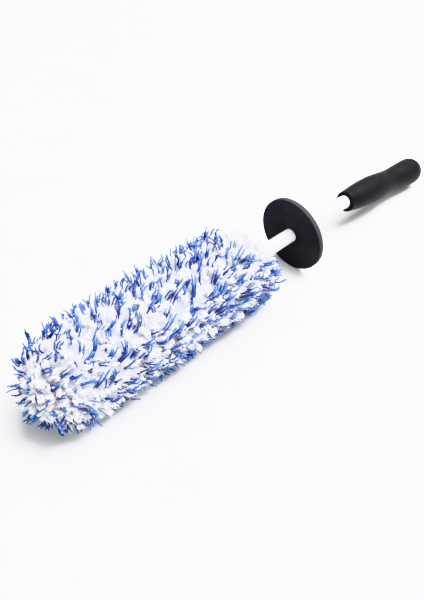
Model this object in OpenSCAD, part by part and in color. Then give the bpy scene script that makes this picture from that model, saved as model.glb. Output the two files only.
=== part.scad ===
// Long-reach wheel brush: a pull-off pile cover on a foam core, a plastic tube for a stem,
// a foam splash guard that slides on the stem, and a foam grip on the stem's cranked tail.
// It lies along X, with the grip at +X. Z = 0 is the surface it lies on.

/* [Brush head] */
// Diameter of the head over its pile
head_d = 76; // [72:1:84]
// Length of the head, from the end of its pile to the neck edge
head_len = 234; // [180:1:280]
// Thickness of the pile over the tip panel
tip_pile_t = 11; // [8:0.5:16]
// Distance between two rows of blue filaments
row_pitch = 10; // [8:0.5:16]
// Thickness of one row of blue filaments
row_t = 1.2; // [0.8:0.1:2]
// Depth of a filament row that shows in the pile
row_depth = 5; // [3:0.5:8]

/* [Cover and foam core] */
// Diameter of the foam core
core_d = 38; // [30:1:44]
// Thickness of the cover's woven backing
backing_t = 1.2; // [0.8:0.1:2]
// Gap between the foam core and the backing
cover_gap = 0.3; // [0.3:0.1:1]
// Length of the neck hem along the stem
hem_len = 11; // [10:0.5:14]
// Diameter of the elastic cord in the hem
elastic_d = 1.2; // [0.8:0.1:1.6]
// Distance between two stitches of a seam
stitch_pitch = 5; // [4:0.5:10]

/* [Stem] */
// Outer diameter of the stem tube
stem_d = 12.7; // [10:0.1:14]
// Wall thickness of the stem tube
stem_wall = 1.6; // [1.2:0.1:2.4]
// Distance from the head's neck edge to the splash guard
guard_reach = 38; // [30:1:60]
// Straight length of stem behind the splash guard's front face
rear_straight = 52; // [40:1:90]
// Angle of the crank that drops the grip
crank_a = 8; // [2:0.5:9]
// Radius of the crank along the stem's axis
crank_r = 150; // [100:5:200]

/* [Splash guard] */
// Diameter of the splash guard
guard_d = 70; // [60:1:71]
// Thickness of the splash guard
guard_t = 5; // [3:0.5:8]
// Radial clearance between the guard's hole and the stem
guard_gap = 0.05; // [0.02:0.01:0.1]

/* [Grip] */
// Length of the grip
grip_len = 126.5; // [120:0.5:150]
// Stem left bare between the crank and the grip
grip_start = 5; // [3:0.5:20]
// Diameter of the grip at its mouth
grip_mouth_d = 20.6; // [18:0.2:22]
// Diameter of the front swell
grip_front_d = 27.2; // [24:0.2:30]
// Diameter of the waist
grip_waist_d = 23.9; // [20:0.1:24]
// Diameter of the rear swell and of the domed end
grip_rear_d = 27.6; // [24:0.2:30]

/* [Hidden] */
$fn = 96;
eps = 0.01;
arc_steps = 14;                                   // straight facets along each curved profile

stem_r = stem_d / 2;
bore_r = stem_r - stem_wall;
head_r = head_d / 2;
row_proud = 0.5;                                  // filament rows stand this far out of the pile
pile_r = head_r - row_proud;
core_r = core_d / 2;
backing_in_r = core_r + cover_gap;
backing_r = backing_in_r + backing_t;
axis_h = guard_d / 2;                             // the guard's rim touches the surface at rest

// Stations along the stem, measured from the end of the head's pile.
panel_u = tip_pile_t;
plug_u = panel_u + backing_t + 1.3;
plug_t = 3.5;
plug_r = core_r - 3;
core_u = plug_u + plug_t;
core_end_u = head_len - 12;
gather_u = core_end_u + 0.5;
hem_u = gather_u + backing_t;
shoulder_u = head_len - 27;
guard_u = head_len + guard_reach;
crank_u = guard_u + rear_straight;

// The grip's swells, measured from its mouth.
lip_r = 2;
front_v = 0.35 * grip_len;
waist_v = 0.595 * grip_len;
rear_v = grip_len - grip_rear_d / 2;
stem_in_grip = 108;                               // stem pushed into the grip
butt_plug_t = 2;
plug_shank = 14;
plug_squeeze = 0;                                 // the shank fills the bore

tail_len = grip_start + stem_in_grip;
total_len = crank_u + crank_r * sin(crank_a) + (grip_start + grip_len) * cos(crank_a);
centre_u = round(5 * total_len) / 10;             // X = 0 is the middle of the whole length

// The joint between the crank and the tail.
hair = 0.2;
spigot_l = 1;
spigot_step = 0.05;

neck_in_r = stem_r + 0.3;
hem_t = 2.4;
hem_r = neck_in_r + hem_t;
stitch_l = 3;
stitch_w = 1;
stitch_t = 0.6;
stitch_gap = 0.2;
seam_u = panel_u + backing_t + 8;
seam_end_u = core_end_u - 6;
tip_stitches = 24;
hem_stitches_n = 10;
tip_row_radii = [7, 14];

PILE_WHITE = [0.93, 0.93, 0.96];
FILAMENT_BLUE = [0.16, 0.33, 0.80];
BACKING_WHITE = [0.86, 0.86, 0.88];
THREAD_WHITE = [0.95, 0.95, 0.95];
STEM_WHITE = [0.96, 0.96, 0.97];
FOAM_BLACK = [0.13, 0.13, 0.14];
CORE_GREY = [0.42, 0.44, 0.47];
PLUG_WHITE = [0.80, 0.81, 0.83];

// Radius of the pile's outside at station u: a domed tip, a straight side, a rounded neck.
function pile_outside(u) =
    u < pile_r ? sqrt(pow(pile_r, 2) - pow(pile_r - u, 2)) :
    u < shoulder_u ? pile_r :
    backing_r + (pile_r - backing_r) * sqrt(max(0, 1 - pow((u - shoulder_u) / (head_len - shoulder_u), 2)));

// Station on the domed tip where the pile's outside has radius r.
function tip_station(r) = pile_r - sqrt(pow(pile_r, 2) - pow(r, 2));

// Points [radius, station] of the pile's outside between two radii of the domed tip.
function tip_arc(r0, r1) =
    let (a0 = asin(r0 / pile_r), a1 = asin(r1 / pile_r))
    [for (i = [0 : arc_steps])
        let (a = a0 + (a1 - a0) * i / arc_steps)
        [pile_r * sin(a), pile_r * (1 - cos(a))]];

// Points [radius, station] of the rounded neck, from the straight side inwards.
function neck_arc() =
    [for (i = [0 : arc_steps])
        let (a = 90 * i / arc_steps)
        [backing_r + (pile_r - backing_r) * cos(a), shoulder_u + (head_len - shoulder_u) * sin(a)]];

// Points [radius, distance from the mouth] of the grip's outside.
function wave(r0, r1, v0, v1) =
    [for (i = [1 : arc_steps])
        let (t = i / arc_steps)
        [r0 + (r1 - r0) * (1 - cos(180 * t)) / 2, v0 + (v1 - v0) * t]];
function grip_lip() =
    [for (i = [0 : 6])
        let (a = 15 * i)
        [grip_mouth_d / 2 - lip_r + lip_r * sin(a), lip_r * (1 - cos(a))]];
function grip_flare() =
    [for (i = [1 : arc_steps])
        let (t = i / arc_steps)
        [grip_mouth_d / 2 + (grip_front_d - grip_mouth_d) / 2 * sin(90 * t), lip_r + (front_v - lip_r) * t]];
function grip_dome() =
    [for (i = [1 : arc_steps])
        let (a = 90 * i / arc_steps)
        [grip_rear_d / 2 * cos(a), rear_v + grip_rear_d / 2 * sin(a)]];

// Puts a shape that is turned about its Z on the stem's axis, with its Z along the stem.
module on_axis(u) {
    translate([u - centre_u, 0, axis_h])
        rotate([0, 90, 0])
            children();
}

// Puts a shape that is turned about its Z on the cranked tail, v past the end of the crank.
module on_tail(v) {
    translate([crank_u - centre_u, 0, axis_h - crank_r])
        rotate([0, crank_a, 0])
            translate([v, 0, crank_r])
                rotate([0, 90, 0])
                    children();
}

// A tube or, with no hole, a rod that is turned about Z.
module tube(outer, inner, length) {
    difference() {
        cylinder(h = length, r = outer);
        if (inner > 0)
            translate([0, 0, -eps])
                cylinder(h = length + 2 * eps, r = inner);
    }
}

// Cuts away whatever would reach below the surface that the brush lies on.
module above_surface() {
    intersection() {
        children();
        translate([-total_len, -head_d, 0])
            cube([2 * total_len, 2 * head_d, 2 * head_d]);
    }
}

// Stitches side by side on a ring about Z, each lying along Z.
module stitch_ring(count, radius) {
    for (i = [0 : count - 1])
        rotate([0, 0, 360 * i / count])
            translate([radius, -stitch_w / 2, 0])
                cube([stitch_t, stitch_w, stitch_l]);
}

// One filament row: a ring that follows the pile's outside, from row_depth inside it.
module filament_row(u) {
    outer0 = pile_outside(u) + row_proud;
    outer1 = pile_outside(u + row_t) + row_proud;
    rotate_extrude()
        polygon([[outer0 - row_depth, u], [outer0, u], [outer1, u + row_t], [outer0 - row_depth, u + row_t]]);
}

// All filament rows along the side of the head.
module filament_rows() {
    row_start = tip_station(backing_r) + row_depth + 2;
    for (u = [row_start : row_pitch : head_len - row_depth - 2])
        filament_row(u);
}

// The filament rows on the tip, as thin walls around the axis.
module tip_rows() {
    for (r = tip_row_radii)
        translate([0, 0, tip_station(r)])
            tube(r + row_t / 2, r - row_t / 2, row_depth);
}

// Solid of the stem's whole path with radius r: a straight rod, the crank, and the tail.
// The tail starts a hair past the crank, and a short spigot of radius spigot_r joins the two.
module stem_path(r, spigot_r, past_ends) {
    on_axis(core_u - past_ends)
        cylinder(h = crank_u - core_u + past_ends, r = r);
    translate([crank_u - centre_u, 0, axis_h - crank_r])
        rotate([-90, -90, 0])
            rotate_extrude(angle = crank_a)
                translate([crank_r, 0])
                    circle(r = r);
    on_tail(-spigot_l)
        cylinder(h = 2 * spigot_l, r = spigot_r);
    on_tail(hair)
        cylinder(h = tail_len - hair + past_ends, r = r);
}

// Stem: straight through the head and the guard, then one crank, then the tail in the grip.
module stem_tube() {
    color(STEM_WHITE)
        difference() {
            stem_path(stem_r, stem_r - spigot_step, 0);
            stem_path(bore_r, bore_r + spigot_step, eps);
        }
}

// Plug in the stem's front end: its wide head keeps the foam core on the stem.
module tip_plug() {
    edge = 1.2;
    color(PLUG_WHITE)
        on_axis(plug_u)
            rotate_extrude()
                polygon([[0, 0], [plug_r - edge, 0], [plug_r, edge], [plug_r, plug_t],
                         [bore_r - plug_squeeze, plug_t], [bore_r - plug_squeeze, plug_t + plug_shank],
                         [0, plug_t + plug_shank]]);
}

// Foam core: a soft cylinder on the stem, chamfered at its neck end.
module foam_core() {
    chamfer = 3;
    length = core_end_u - core_u;
    color(CORE_GREY)
        on_axis(core_u)
            rotate_extrude()
                polygon([[stem_r, 0], [core_r, 0], [core_r, length - chamfer],
                         [core_r - chamfer, length], [stem_r, length]]);
}

// Plug that closes the stem's rear end inside the grip.
module butt_plug() {
    color(PLUG_WHITE)
        on_tail(tail_len - plug_shank)
            rotate_extrude()
                polygon([[0, 0], [bore_r - plug_squeeze, 0], [bore_r - plug_squeeze, plug_shank],
                         [stem_r, plug_shank], [stem_r, plug_shank + butt_plug_t],
                         [0, plug_shank + butt_plug_t]]);
}

// Grip: foam sleeve with a blind bore, two swells, a waist and a domed end.
module grip() {
    outside = concat(grip_lip(), grip_flare(),
                     wave(grip_front_d / 2, grip_waist_d / 2, front_v, waist_v),
                     wave(grip_waist_d / 2, grip_rear_d / 2, waist_v, rear_v), grip_dome());
    bore_len = stem_in_grip + butt_plug_t;
    color(FOAM_BLACK)
        on_tail(grip_start)
            rotate_extrude()
                polygon(concat([[0, bore_len], [stem_r, bore_len], [stem_r, 0]], outside));
}

// Splash guard: a foam disc with softened rims that slides on the stem.
module splash_guard() {
    rim = 0.8;
    hole_r = stem_r + guard_gap;
    color(FOAM_BLACK)
        on_axis(guard_u)
            rotate_extrude()
                polygon([[hole_r, 0], [axis_h - rim, 0], [axis_h, rim], [axis_h, guard_t - rim],
                         [axis_h - rim, guard_t], [hole_r, guard_t]]);
}

// Woven backing of the cover's side.
module cover_backing() {
    color(BACKING_WHITE)
        on_axis(panel_u + backing_t)
            tube(backing_r, backing_in_r, gather_u - panel_u - backing_t);
}

// Woven disc that closes the cover at the tip.
module tip_panel() {
    color(BACKING_WHITE)
        on_axis(panel_u)
            cylinder(h = backing_t, r = backing_r);
}

// Stitches of the seam along the cover's underside.
module side_seam() {
    color(THREAD_WHITE)
        for (u = [seam_u : stitch_pitch : seam_end_u - stitch_l])
            on_axis(u)
                translate([backing_r, -stitch_w / 2, 0])
                    cube([stitch_t, stitch_w, stitch_l]);
}

// Stitches that join the tip panel to the cover's side.
module tip_seam() {
    color(THREAD_WHITE)
        on_axis(panel_u)
            stitch_ring(tip_stitches, backing_r);
}

// Room in the pile for the stitches of both seams, drawn on the stem's own axis.
module seam_room() {
    room_r = backing_r + stitch_t + stitch_gap;
    translate([0, 0, panel_u - eps])
        cylinder(h = stitch_l + stitch_gap, r = room_r);
    translate([backing_r - eps, -stitch_w / 2 - stitch_gap, seam_u - stitch_gap])
        cube([stitch_t + stitch_gap, stitch_w + 2 * stitch_gap, seam_end_u - seam_u]);
}

// White pile of the cover's side.
module white_pile() {
    color(PILE_WHITE)
        above_surface()
            on_axis(0)
                difference() {
                    rotate_extrude()
                        polygon(concat([[backing_r, head_len - eps]], [[backing_r, tip_station(backing_r)]],
                                       tip_arc(backing_r, pile_r), neck_arc()));
                    seam_room();
                    filament_rows();
                }
}

// White pile of the tip panel.
module tip_pile() {
    color(PILE_WHITE)
        on_axis(0)
            difference() {
                rotate_extrude()
                    polygon(concat(tip_arc(0, backing_r), [[backing_r, panel_u], [0, panel_u]]));
                tip_rows();
            }
}

// Rows of blue filaments along the side of the head.
module blue_filaments() {
    color(FILAMENT_BLUE)
        above_surface()
            on_axis(0)
                filament_rows();
}

// Rows of blue filaments on the tip.
module tip_filaments() {
    color(FILAMENT_BLUE)
        on_axis(0)
            tip_rows();
}

// Backing drawn in behind the foam core, round the stem.
module neck_gather() {
    color(BACKING_WHITE)
        on_axis(gather_u)
            tube(backing_r, neck_in_r, backing_t);
}

// Hem round the stem, with a channel for its elastic.
module neck_hem() {
    color(BACKING_WHITE)
        on_axis(hem_u)
            rotate_extrude()
                difference() {
                    translate([neck_in_r, 0])
                        square([hem_t, hem_len]);
                    translate([neck_in_r + hem_t / 2, hem_len / 2])
                        circle(d = elastic_d);
                }
}

// Elastic cord that draws the hem round the stem.
module neck_elastic() {
    color(THREAD_WHITE)
        on_axis(hem_u + hem_len / 2)
            rotate_extrude()
                translate([neck_in_r + hem_t / 2, 0])
                    circle(d = elastic_d);
}

// Stitches that close the hem's channel.
module hem_stitches() {
    color(THREAD_WHITE)
        on_axis(hem_u + 2)
            stitch_ring(hem_stitches_n, hem_r);
}

// Pile of the drawn-in neck, between the hem and the pile of the side.
module neck_pile() {
    inner_r = hem_r + stitch_t + stitch_gap;
    color(PILE_WHITE)
        on_axis(hem_u)
            tube(backing_r, inner_r, head_len - hem_u);
}

stem_tube();
tip_plug();
foam_core();
butt_plug();
grip();
splash_guard();
cover_backing();
tip_panel();
side_seam();
tip_seam();
white_pile();
tip_pile();
blue_filaments();
tip_filaments();
neck_gather();
neck_hem();
neck_elastic();
hem_stitches();
neck_pile();
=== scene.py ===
"""Wheel brush: a long head of white pile with blue filaments, a sliding splash guard and a foam grip.

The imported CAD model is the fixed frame. This script builds the pieces that show around it, gives every
piece its finish, and sets up a plain studio. Sizes inside the classes are in millimetres and are turned
into metres where a mesh is made.
"""

import logging
import math
from dataclasses import dataclass, field, replace
from enum import Enum
from typing import Callable, Sequence

import bpy
import numpy as np
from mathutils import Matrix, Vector


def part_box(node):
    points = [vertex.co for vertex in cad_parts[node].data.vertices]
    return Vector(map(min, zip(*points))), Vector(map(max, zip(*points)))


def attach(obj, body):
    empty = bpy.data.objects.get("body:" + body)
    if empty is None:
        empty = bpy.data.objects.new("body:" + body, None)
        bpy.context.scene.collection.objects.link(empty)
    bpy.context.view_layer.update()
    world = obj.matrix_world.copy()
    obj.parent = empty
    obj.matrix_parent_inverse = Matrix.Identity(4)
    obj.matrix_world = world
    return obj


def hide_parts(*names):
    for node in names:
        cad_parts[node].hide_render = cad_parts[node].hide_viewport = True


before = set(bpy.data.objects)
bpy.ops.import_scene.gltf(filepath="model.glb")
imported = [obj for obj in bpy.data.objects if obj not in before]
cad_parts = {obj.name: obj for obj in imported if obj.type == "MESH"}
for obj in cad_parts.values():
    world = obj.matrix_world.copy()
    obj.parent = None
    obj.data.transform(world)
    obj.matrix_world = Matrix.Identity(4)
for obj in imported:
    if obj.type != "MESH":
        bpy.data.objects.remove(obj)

MM = 0.001
# Angle round the stem of the side that faces up and away; the pile was stroked towards it.
UP_BACK = math.radians(35)
# Radius under which a turned ring closes to one point.
POLE_MM = 1e-6
# Distance within which a point of a profile counts as on a face.
NEAR_MM = 0.1
# Thickness of the hem, and the gap between it and the stem.
HEM_MM = 2.4
NECK_GAP_MM = 0.3
LOG = logging.getLogger("wheel_brush")

Point = tuple[float, float, float]
Profile = list[tuple[float, float]]
Place = Callable[[float, float, float], Point]
Socket = bpy.types.NodeSocket
Tones = tuple[tuple[float, str], ...]
Settings = tuple[tuple[str, object], ...]


class Body(str, Enum):
    """The CAD bodies that pieces ride on."""

    STEM = "stem"
    GUARD = "guard"
    COVER = "cover"


# ---------------------------------------------------------------------------------------------
# Small shared helpers
# ---------------------------------------------------------------------------------------------


def srgb(code: str) -> tuple[float, float, float, float]:
    """Turns an sRGB hex colour into linear RGBA.

    Args:
        code: The colour as "#rrggbb".

    Returns:
        Linear red, green and blue, and an alpha of 1.
    """
    channels = [int(code[i:i + 2], 16) / 255 for i in (1, 3, 5)]
    linear = [c / 12.92 if c <= 0.04045 else ((c + 0.055) / 1.055) ** 2.4 for c in channels]
    return (linear[0], linear[1], linear[2], 1.0)


def add_node(
    tree: bpy.types.NodeTree, kind: str, settings: dict | None = None, inputs: dict | None = None
) -> bpy.types.Node:
    """Adds a node with its settings and links.

    Args:
        tree: The shader or geometry tree that gets the node.
        kind: The node's type name.
        settings: Values of the node's own properties.
        inputs: Values or output sockets for its inputs, by name or number.

    Returns:
        The new node.
    """
    node = tree.nodes.new(kind)
    for name, value in (settings or {}).items():
        setattr(node, name, value)
    for key, value in (inputs or {}).items():
        if isinstance(value, Socket):
            tree.links.new(value, node.inputs[key])
        else:
            node.inputs[key].default_value = value
    return node


def link_object(name: str, mesh: bpy.types.Mesh) -> bpy.types.Object:
    """Makes a smooth-shaded object from a mesh and links it to the scene.

    Args:
        name: The piece's name.
        mesh: Its mesh, in metres in the row frame.

    Returns:
        The object, at the origin.
    """
    mesh.polygons.foreach_set("use_smooth", [True] * len(mesh.polygons))
    obj = bpy.data.objects.new(name, mesh)
    bpy.context.scene.collection.objects.link(obj)
    return obj


def make_object(
    name: str, points: Sequence[Sequence[float]], faces: Sequence[Sequence[int]]
) -> bpy.types.Object:
    """Makes a mesh object from points in millimetres.

    Args:
        name: The piece's name.
        points: Corner positions in the row frame, in millimetres.
        faces: Corner numbers of each face, seen from outside.

    Returns:
        The linked object, at the origin.
    """
    mesh = bpy.data.meshes.new(name)
    mesh.from_pydata([tuple(c * MM for c in p) for p in points], [], [list(f) for f in faces])
    mesh.update()
    return link_object(name, mesh)


def evenly(start: float, end: float, steps: int) -> list[float]:
    """Values at even steps from start to end, both included."""
    return [start + (end - start) * i / steps for i in range(steps + 1)]


def arc(centre: tuple[float, float], radius: float, start: float, end: float, steps: int) -> Profile:
    """Points on a circular arc of a profile, both ends included.

    Args:
        centre: The arc's centre as (radius, station).
        radius: The arc's radius.
        start: First angle in degrees, 0 pointing away from the axis and 90 along it.
        end: Last angle in degrees.
        steps: Number of straight steps.

    Returns:
        Profile points as (radius, station).
    """
    angles = [math.radians(degrees) for degrees in evenly(start, end, steps)]
    return [(centre[0] + radius * math.cos(a), centre[1] + radius * math.sin(a)) for a in angles]


def turned(
    name: str, profile: Profile, place: Place, segments: int = 96, closed: bool = False
) -> bpy.types.Object:
    """Makes a surface of revolution.

    Args:
        name: The piece's name.
        profile: Points as (radius, station), which run so that the solid lies on their left when the
            station points up and the radius points right. A radius of 0 is a pole and becomes one point.
        place: Turns (radius, angle, station) into a point in the row frame.
        segments: Number of segments round the axis.
        closed: Whether the profile's last point joins its first.

    Returns:
        The new object.
    """
    points: list[Point] = []
    rings: list[list[int]] = []
    for radius, station in profile:
        count = 1 if radius < POLE_MM else segments
        rings.append(list(range(len(points), len(points) + count)))
        points += [place(radius, 2 * math.pi * k / segments, station) for k in range(count)]
    faces: list[list[int]] = []
    pairs = list(zip(rings, rings[1:])) + ([(rings[-1], rings[0])] if closed else [])
    for low, high in pairs:
        for k in range(segments):
            after = (k + 1) % segments
            if len(low) == 1 and len(high) > 1:
                faces.append([low[0], high[after], high[k]])
            elif len(high) == 1 and len(low) > 1:
                faces.append([low[k], low[after], high[0]])
            elif len(low) > 1:
                faces.append([low[k], low[after], high[after], high[k]])
    return make_object(name, points, faces)


def repaint(node: str, material: bpy.types.Material) -> None:
    """Gives a CAD node that stays in sight its finish.

    Args:
        node: The node's name.
        material: Its finish.
    """
    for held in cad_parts[node].material_slots:
        held.material = material
    LOG.info("%s: %s", node, material.name)


def dress(obj: bpy.types.Object, material: bpy.types.Material) -> None:
    """Gives a piece its only material.

    Args:
        obj: The piece.
        material: Its finish.
    """
    obj.data.materials.clear()
    obj.data.materials.append(material)


# ---------------------------------------------------------------------------------------------
# Where things are
# ---------------------------------------------------------------------------------------------


@dataclass(frozen=True)
class Stations:
    """The brush's main places, in millimetres, read from the CAD frame.

    Attributes:
        axis_z: Height of the stem's axis.
        tip_x: End of the pile at the tip.
        panel_x: Front of the woven end panel.
        core_x: Tip end of the foam core, where the stem starts too.
        core_end_x: Neck end of the foam core.
        neck_x: Neck edge of the pile.
        guard_x: Front face of the splash guard.
        guard_back_x: Back face of the splash guard.
        head_r: Radius of the head over its pile.
        backing_r: Radius of the cover's backing.
        stem_r: Radius of the stem.
        guard_r: Radius of the splash guard.
        core_r: Radius of the foam core.
    """

    axis_z: float
    tip_x: float
    panel_x: float
    core_x: float
    core_end_x: float
    neck_x: float
    guard_x: float
    guard_back_x: float
    head_r: float
    backing_r: float
    stem_r: float
    guard_r: float
    core_r: float

    @staticmethod
    def from_frame() -> "Stations":
        """Reads the places from the boxes of the CAD nodes.

        Returns:
            The places, with the hem's outside less its thickness and gap as the stem's radius.
        """
        guard_lo, guard_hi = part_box("splash_guard")
        core_lo, core_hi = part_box("foam_core")
        return Stations(
            axis_z=(guard_lo.z + guard_hi.z) / 2 / MM,
            tip_x=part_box("tip_pile")[0].x / MM,
            panel_x=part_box("tip_panel")[0].x / MM,
            core_x=core_lo.x / MM,
            core_end_x=core_hi.x / MM,
            neck_x=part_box("white_pile")[1].x / MM,
            guard_x=guard_lo.x / MM,
            guard_back_x=guard_hi.x / MM,
            head_r=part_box("blue_filaments")[1].y / MM,
            backing_r=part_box("cover_backing")[1].y / MM,
            stem_r=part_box("neck_hem")[1].y / MM - HEM_MM - NECK_GAP_MM,
            guard_r=guard_hi.y / MM,
            core_r=core_hi.y / MM,
        )

    def on_axis(self, radius: float, angle: float, station: float) -> Point:
        """A point at a radius and angle round the straight axis, at an X station."""
        return (station, radius * math.cos(angle), self.axis_z + radius * math.sin(angle))


# ---------------------------------------------------------------------------------------------
# Finishes
# ---------------------------------------------------------------------------------------------


class Kind(Enum):
    """The kinds of pattern: the node, its output, and the node's own unit in sizes of the pattern."""

    BLOTCHES = ("ShaderNodeTexNoise", "Fac", 1.0)
    CELLS = ("ShaderNodeTexVoronoi", "Distance", 1.0)
    THREADS = ("ShaderNodeTexWave", "Fac", 2 * math.pi)


@dataclass(frozen=True)
class Pattern:
    """A pattern on a surface.

    Attributes:
        kind: The kind of pattern.
        size_mm: Its real size: a blotch, a cell or the space between threads.
        settings: Properties of its node.
        inputs: Further inputs of its node.
    """

    kind: Kind
    size_mm: float
    settings: Settings = ()
    inputs: Settings = ()

    def lay(self, tree: bpy.types.NodeTree, place: Socket) -> Socket:
        """Adds the pattern to a material.

        Args:
            tree: The material's tree.
            place: The place on the piece, in metres, that the pattern follows.

        Returns:
            The pattern as a value from 0 to 1.
        """
        node, output, unit = self.kind.value
        inputs = {"Vector": place, "Scale": 1 / (unit * self.size_mm * MM), **dict(self.inputs)}
        return add_node(tree, node, dict(self.settings), inputs).outputs[output]


def blotches(size_mm: float, detail: float = 3.0) -> Pattern:
    """Soft blotches of a size, with a number of octaves of finer ones."""
    return Pattern(Kind.BLOTCHES, size_mm, inputs=(("Detail", detail),))


@dataclass(frozen=True)
class Finish:
    """What every finish shares: one Principled surface with tones that follow a pattern and a relief.

    Attributes:
        name: The material's name.
        roughness: Roughness of the bare surface.
        ior: Index of refraction.
        tones: The surface's sRGB hex colours, each with the value of the tint at which it is reached.
        tint: The pattern that the tones follow.
        grain: The pattern of the relief, where it isn't the tint's own.
        depth_mm: Real depth of the relief. A depth of 0 gives a smooth surface.
        more: Further inputs of the Principled surface.
    """

    name: str
    roughness: float
    ior: float
    tones: Tones
    tint: Pattern
    grain: Pattern | None = None
    depth_mm: float = 0.0
    more: Settings = ()

    def build(self) -> bpy.types.Material:
        """Makes the material.

        Returns:
            The new material.
        """
        material = bpy.data.materials.new(self.name)
        material.use_nodes = True
        tree = material.node_tree
        shader = tree.nodes["Principled BSDF"]
        for setting, value in (("Roughness", self.roughness), ("IOR", self.ior), *self.more):
            shader.inputs[setting].default_value = value
        place = add_node(tree, "ShaderNodeTexCoord").outputs["Object"]
        tree.links.new(self.colour(tree, place), shader.inputs["Base Color"])
        if self.depth_mm:
            relief = {"Height": self.height(tree, place), "Distance": self.depth_mm * MM, "Strength": 1.0}
            bump = add_node(tree, "ShaderNodeBump", inputs=relief)
            tree.links.new(bump.outputs["Normal"], shader.inputs["Normal"])
        return material

    def share(self, tree: bpy.types.NodeTree, place: Socket) -> Socket:
        """The value from 0 to 1 that the tones follow."""
        return self.tint.lay(tree, place)

    def height(self, tree: bpy.types.NodeTree, place: Socket) -> Socket:
        """The relief as a value from 0 to 1."""
        return (self.grain or self.tint).lay(tree, place)

    def colour(self, tree: bpy.types.NodeTree, place: Socket) -> Socket:
        """The surface's colour: the tones, blended along the tint.

        Args:
            tree: The material's tree.
            place: The place on the piece, in metres.

        Returns:
            The colour.
        """
        blend = add_node(tree, "ShaderNodeValToRGB", inputs={"Fac": self.share(tree, place)})
        elements = blend.color_ramp.elements
        while len(elements) < len(self.tones):
            elements.new(1.0)
        for element, (position, code) in zip(elements, self.tones):
            element.position = position
            element.color = srgb(code)
        return blend.outputs["Color"]


@dataclass(frozen=True)
class ExtrudedGloss(Finish):
    """White ABS tube, extruded: a high even gloss with faint draw lines along its length.

    Attributes:
        stretch: How much the draw lines are compressed along each axis; the small one draws them out.
    """

    name: str = "abs_extruded_gloss_white"
    roughness: float = 0.2
    ior: float = 1.54
    tones: Tones = ((0.3, "#e6e6ec"), (0.6, "#f2f2f5"))
    tint: Pattern = blotches(20.0)
    grain: Pattern = blotches(0.6, 2.0)
    depth_mm: float = 0.01
    more: Settings = (("Coat Weight", 0.3), ("Coat Roughness", 0.08))
    stretch: Point = (0.02, 1.0, 1.0)

    def height(self, tree: bpy.types.NodeTree, place: Socket) -> Socket:
        """The draw lines: fine blotches stretched along the tube."""
        drawn = add_node(tree, "ShaderNodeMapping", inputs={"Vector": place, "Scale": self.stretch})
        return self.grain.lay(tree, drawn.outputs[0])


@dataclass(frozen=True)
class MouldedPlug(Finish):
    """Polypropylene, injection moulded: a soft satin with a fine spark-eroded grain."""

    name: str = "polypropylene_moulded_grey_white"
    roughness: float = 0.45
    ior: float = 1.49
    tones: Tones = ((0.3, "#bfc0c6"), (0.7, "#cdced3"))
    tint: Pattern = blotches(6.0)
    grain: Pattern = blotches(0.5)
    depth_mm: float = 0.02


@dataclass(frozen=True)
class FoamSkin(Finish):
    """NBR foam, moulded with a closed skin: satin black with very fine pores and a soft bloom.

    Attributes:
        wear: The pattern in which handling has made the skin smoother.
        wear_roughness: Roughness where it is smoothest and where it is roughest.
    """

    name: str = "nbr_foam_moulded_skin_black"
    roughness: float = 0.5
    ior: float = 1.5
    tones: Tones = ((0.35, "#1a1a1c"), (0.7, "#1e1e20"))
    tint: Pattern = blotches(9.0)
    grain: Pattern = blotches(0.45, 4.0)
    depth_mm: float = 0.05
    more: Settings = (("Specular IOR Level", 0.06),)
    wear: Pattern = blotches(5.0)
    wear_roughness: tuple[float, float] = (0.42, 0.6)

    def build(self) -> bpy.types.Material:
        """Makes the material, with its roughness patchy from handling.

        Returns:
            The new material.
        """
        material = super().build()
        tree = material.node_tree
        place = add_node(tree, "ShaderNodeTexCoord").outputs["Object"]
        low, high = self.wear_roughness
        span = {"Value": self.wear.lay(tree, place), "To Min": low, "To Max": high}
        patchy = add_node(tree, "ShaderNodeMapRange", inputs=span)
        tree.links.new(patchy.outputs["Result"], tree.nodes["Principled BSDF"].inputs["Roughness"])
        return material


@dataclass(frozen=True)
class CutFoam(Finish):
    """EVA foam sheet, die cut: matt black, with open cells on its surface and a paler rim that is partly cut
    cells and partly painted highlight.

    Attributes:
        rim: Colour of the rim: the cut cells' paler grey together with a painted highlight where light
            catches the edge.
        rim_from_mm: Radius from which the rim's colour starts.
        rim_fade_mm: Width over which it comes in.
        axis_mm: Height of the disc's centre.
    """

    name: str = "eva_foam_cut_black"
    roughness: float = 0.85
    ior: float = 1.45
    tones: Tones = ((0.35, "#2a292c"), (0.7, "#313033"))
    tint: Pattern = blotches(12.0)
    grain: Pattern = Pattern(Kind.CELLS, 0.6)
    depth_mm: float = 0.06
    more: Settings = (("Specular IOR Level", 0.15),)
    # Rim colour: partly the cut cells' grey, partly a painted highlight on the edge.
    rim: str = "#36363a"
    rim_from_mm: float = 34.1
    rim_fade_mm: float = 0.6
    axis_mm: float = 35.0

    def colour(self, tree: bpy.types.NodeTree, place: Socket) -> Socket:
        """The disc's colour, with its rim painted paler, partly as a painted highlight.

        Args:
            tree: The material's tree.
            place: The place on the piece, in metres.

        Returns:
            The colour.
        """
        centred = {"Vector": place, "Location": (0.0, 0.0, -self.axis_mm * MM), "Scale": (0.0, 1.0, 1.0)}
        about_axis = add_node(tree, "ShaderNodeMapping", inputs=centred)
        radius = add_node(tree, "ShaderNodeVectorMath", {"operation": "LENGTH"}, {0: about_axis.outputs[0]})
        span = {
            "Value": radius.outputs["Value"],
            "From Min": self.rim_from_mm * MM,
            "From Max": (self.rim_from_mm + self.rim_fade_mm) * MM,
        }
        at_rim = add_node(tree, "ShaderNodeMapRange", inputs=span).outputs["Result"]
        # Paler rim: partly the cut cells' grey, partly a painted highlight where light falls on the edge.
        colours = {"Factor": at_rim, 6: super().colour(tree, place), 7: srgb(self.rim)}
        return add_node(tree, "ShaderNodeMix", {"data_type": "RGBA"}, colours).outputs[2]


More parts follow.
